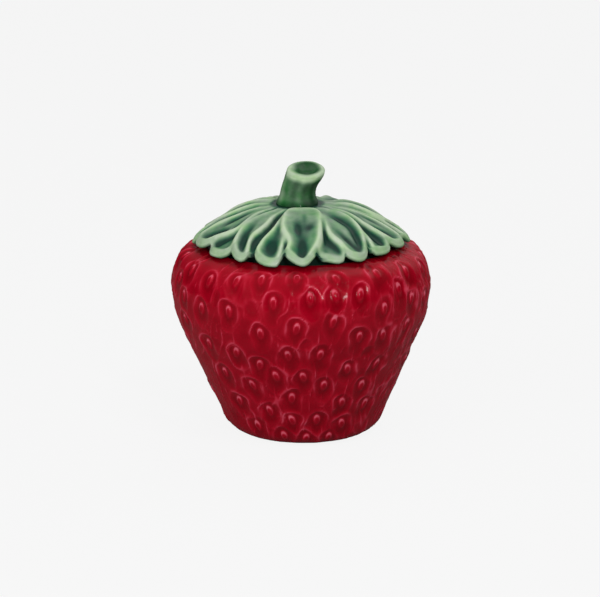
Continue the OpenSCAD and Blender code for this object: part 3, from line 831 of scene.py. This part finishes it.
def glaze_material(name, stops, gloss, coat, fleck_mm, fleck, patchy=0.0, biscuit=None):
    """Glaze coloured by its depth; where the points are marked bare, the biscuit colour shows."""
    material = bpy.data.materials.new(name)
    tree = empty_tree(material)
    place = add(tree, "ShaderNodeTexCoord").outputs["Object"]
    depth = add(tree, "ShaderNodeAttribute", attribute_name="glaze").outputs["Fac"]
    cloud = add(tree, "ShaderNodeTexNoise", [("Vector", place)], Scale=1 / (fleck_mm * MM), Detail=3.0)
    shift = add(tree, "ShaderNodeMath", [(0, cloud.outputs["Fac"])], [(1, fleck), (2, -fleck / 2)],
                operation="MULTIPLY_ADD")
    uneven_depth = add(tree, "ShaderNodeMath", [(0, depth), (1, shift.outputs[0])], operation="ADD")
    ramp = add(tree, "ShaderNodeValToRGB", [("Fac", uneven_depth.outputs[0])])
    ramp.color_ramp.interpolation = "B_SPLINE"
    while len(ramp.color_ramp.elements) < len(stops):
        ramp.color_ramp.elements.new(0.5)
    for element, (position, hex_colour) in zip(ramp.color_ramp.elements, stops):
        element.position, element.color = position, linear(hex_colour)
    colour = ramp.outputs["Color"]
    if patchy:
        patch = add(tree, "ShaderNodeTexNoise", [("Vector", place)], Scale=1 / (PATCH_MM * MM), Detail=2.0)
        strength = add(tree, "ShaderNodeMapRange", [("Value", patch.outputs["Fac"])],
                       From_Min=0.3, From_Max=0.7, To_Min=1 - patchy, To_Max=1 + patchy)
        colour = add(tree, "ShaderNodeHueSaturation",
                     [("Color", colour), ("Saturation", strength.outputs["Result"])]).outputs["Color"]
    if biscuit:
        bare = add(tree, "ShaderNodeAttribute", attribute_name="bare").outputs["Fac"]
        # sockets 6, 7 and 2 are the two colours and the result of a colour mix
        clay = add(tree, "ShaderNodeMix", [("Factor", bare), (6, colour)], [(7, linear(biscuit))],
                   data_type="RGBA")
        colour = clay.outputs[2]
    ripple = add(tree, "ShaderNodeTexNoise", [("Vector", place)], Scale=1 / (RIPPLE_MM * MM), Detail=2.0)
    bump = add(tree, "ShaderNodeBump", [("Height", ripple.outputs["Fac"])],
               Strength=0.2, Distance=RIPPLE_DEPTH_MM * MM).outputs["Normal"]
    shader = add(tree, "ShaderNodeBsdfPrincipled",
                 [("Base Color", colour), ("Normal", bump), ("Coat Normal", bump)],
                 Roughness=0.6, Specular_IOR_Level=0.0, Coat_Weight=coat, Coat_Roughness=gloss, Coat_IOR=1.5)
    add(tree, "ShaderNodeOutputMaterial", [("Surface", shader.outputs["BSDF"])])
    print(f"{name}: {len(tree.nodes)} nodes")
    return material


# %% [markdown]
# The red glaze is a selenium red: deep and even, a shade lighter where it thins on ridges and seeds.
# The foot ring was wiped before firing, so there the bare biscuit shows, dull and cream white.

# %% Red glaze
# dipped and fired: the eye sees a deep, wet red with pale pink lines where it ran thin; the darkest stop is
# for the painted shade under the leaves
RED = [(0.0, "#CE6676"), (0.14, "#BE3248"), (0.28, "#A20A21"), (0.45, "#920017"), (0.75, "#7F0010"),
       (1.0, "#59000A")]
pot.data.materials.append(glaze_material(
    "red_glazed_earthenware", RED, gloss=0.16, coat=0.22, fleck_mm=8, fleck=0.14, biscuit="#D9CDB8"))

# %% [markdown]
# The green of the leaves is a copper glaze over the white body, the most changeable of the three:
# almost cream on the rims, bottle green in the hollows. The stem has the same glaze, laid thicker.

# %% Green glazes
# brushed on and fired: the eye sees milky rims and dark, clear pools, with patches of stronger green
GREEN = [(0.0, "#B2C4A6"), (0.18, "#97B18E"), (0.4, "#6D8D6E"), (0.62, "#436A50"), (0.82, "#284A3C"),
         (1.0, "#1A3129")]
lid.data.materials.append(glaze_material(
    "green_copper_glaze_leaves", GREEN, gloss=0.1, coat=0.3, fleck_mm=5, fleck=0.28, patchy=0.3))
STEM_GREEN = [(0.0, "#B2C6A4"), (0.25, "#86A27E"), (0.5, "#557A57"), (0.72, "#305436"), (1.0, "#122B19")]
stem.data.materials.append(glaze_material(
    "green_copper_glaze_stem", STEM_GREEN, gloss=0.1, coat=0.3, fleck_mm=5, fleck=0.3, patchy=0.3))

# %% [markdown]
# ## The ground
# The photo shows the jar on a plain pale ground. A white floor under strong light would throw too
# much light back at the jar, so this one is a mid grey that is shown pale to the camera, and faintly
# to reflections, through its Light Path. The grey part that is left keeps a soft shadow.

# %% Floor
FLOOR_HALF, FLOOR_WHITE, FLOOR_MIRRORED = 4.0, 0.885, 0.06
corners = [(x * FLOOR_HALF, y * FLOOR_HALF, 0) for x, y in ((-1, -1), (1, -1), (1, 1), (-1, 1))]
floor_mesh = bpy.data.meshes.new("floor")
floor_mesh.from_pydata(corners, [], [(0, 1, 2, 3)])
floor = bpy.data.objects.new("floor", floor_mesh)
bpy.context.scene.collection.objects.link(floor)
ground = bpy.data.materials.new("pale_studio_ground")
tree = empty_tree(ground)
rays = add(tree, "ShaderNodeLightPath").outputs
mirrored = add(tree, "ShaderNodeMath", [(0, rays["Is Glossy Ray"]), (1, rays["Is Transmission Ray"])],
               operation="MAXIMUM")
seen = add(tree, "ShaderNodeMath", [(0, mirrored.outputs[0]), (2, rays["Is Camera Ray"])],
           [(1, FLOOR_MIRRORED)], operation="MULTIPLY_ADD")
white_share = add(tree, "ShaderNodeMath", [(0, seen.outputs[0])], [(1, FLOOR_WHITE)], operation="MULTIPLY")
matt = add(tree, "ShaderNodeBsdfDiffuse", Color=linear("#9C9C9C"))
white = add(tree, "ShaderNodeEmission", Color=linear("#FFFFFF"))
both = add(tree, "ShaderNodeMixShader",
           [(0, white_share.outputs[0]), (1, matt.outputs[0]), (2, white.outputs[0])])
add(tree, "ShaderNodeOutputMaterial", [("Surface", both.outputs[0])])
floor_mesh.materials.append(ground)
print(f"floor {2 * FLOOR_HALF:.0f} m square")

# %% [markdown]
# ## Light
# Light comes mostly from above, from a sky that is bright at the top and dim at the horizon. Behind
# the jar, a little to the right, it has a pale patch, as from a bright wall.

# %% Sky
HORIZON, ZENITH, WALL_GLOW = 0.05, 0.58, 0.95
WALL_AT, WALL_EDGE = Vector((0.35, 0.75, 0.50)).normalized(), (0.7, 0.98)
world = bpy.data.worlds.new("studio")
bpy.context.scene.world = world
tree = empty_tree(world)
towards = add(tree, "ShaderNodeTexCoord").outputs["Generated"]
height = add(tree, "ShaderNodeSeparateXYZ", [("Vector", towards)]).outputs["Z"]
sky = add(tree, "ShaderNodeMapRange", [("Value", height)], interpolation_type="SMOOTHSTEP",
          From_Min=0.0, From_Max=1.0, To_Min=HORIZON, To_Max=ZENITH)
to_wall = add(tree, "ShaderNodeVectorMath", [(0, towards)], [(1, WALL_AT)], operation="DOT_PRODUCT")
wall = add(tree, "ShaderNodeMapRange", [("Value", to_wall.outputs["Value"])],
           interpolation_type="SMOOTHSTEP",
           From_Min=WALL_EDGE[0], From_Max=WALL_EDGE[1], To_Min=0.0, To_Max=WALL_GLOW)
bright = add(tree, "ShaderNodeMath", [(0, sky.outputs["Result"]), (1, wall.outputs["Result"])],
             operation="ADD")
background = add(tree, "ShaderNodeBackground", [("Strength", bright.outputs[0])], Color=(1, 1, 1, 1))
add(tree, "ShaderNodeOutputWorld", [("Surface", background.outputs[0])])
print(f"sky from {HORIZON} at the horizon to {ZENITH} overhead")

# %% [markdown]
# A soft box high at the front right gives the light its direction, and a large one at the left fills
# the shadows. Both are kept out of reflections, where they would show as hard-edged grey flecks.
# Only a small lamp at the front right sparkles in the glaze.

# %% Lamps
MIDDLE = Vector((0, 0, 0.07))


def soft_box(name, place, width, height, watts, sparkles):
    """A rectangular lamp aimed at the middle of the jar."""
    lamp_data = bpy.data.lights.new(name, "AREA")
    lamp_data.shape = "RECTANGLE"
    lamp_data.size, lamp_data.size_y, lamp_data.energy = width, height, watts
    lamp = bpy.data.objects.new(name, lamp_data)
    lamp.location = place
    lamp.rotation_euler = (MIDDLE - Vector(place)).to_track_quat("-Z", "Y").to_euler()
    lamp.visible_glossy = sparkles
    bpy.context.scene.collection.objects.link(lamp)


soft_box("high_box", (0.45, -0.80, 1.30), 0.40, 0.30, 6.6, sparkles=False)
soft_box("left_box", (-1.00, -1.00, 0.45), 1.2, 1.1, 12.2, sparkles=False)
soft_box("sparkle_box", (0.40, -1.20, 0.70), 0.13, 0.16, 5.4, sparkles=True)

# %% [markdown]
# ## Camera
# A long lens from 1.5 m, 15 degrees above the table. The scale of the picture, in pixels for each
# millimetre at the jar, gives the focal length.

# %% Camera
PICTURE_W, PIXELS_PER_MM, SENSOR = 600, 1.985, 36.0
DISTANCE, ELEVATION = 1.5, math.radians(15)
target = Vector((-0.0005, 0, 0.0665))
camera_data = bpy.data.cameras.new("camera")
camera_data.sensor_width = SENSOR
camera_data.lens = PIXELS_PER_MM * DISTANCE / MM / PICTURE_W * SENSOR
camera = bpy.data.objects.new("camera", camera_data)
back = Vector((0, -math.cos(ELEVATION), math.sin(ELEVATION)))
camera.location = target + DISTANCE * back
camera.rotation_euler = (-back).to_track_quat("-Z", "Y").to_euler()
bpy.context.scene.collection.objects.link(camera)
bpy.context.scene.camera = camera
bpy.context.scene.view_settings.view_transform = "Standard"
print(f"lens {camera_data.lens:.0f} mm")
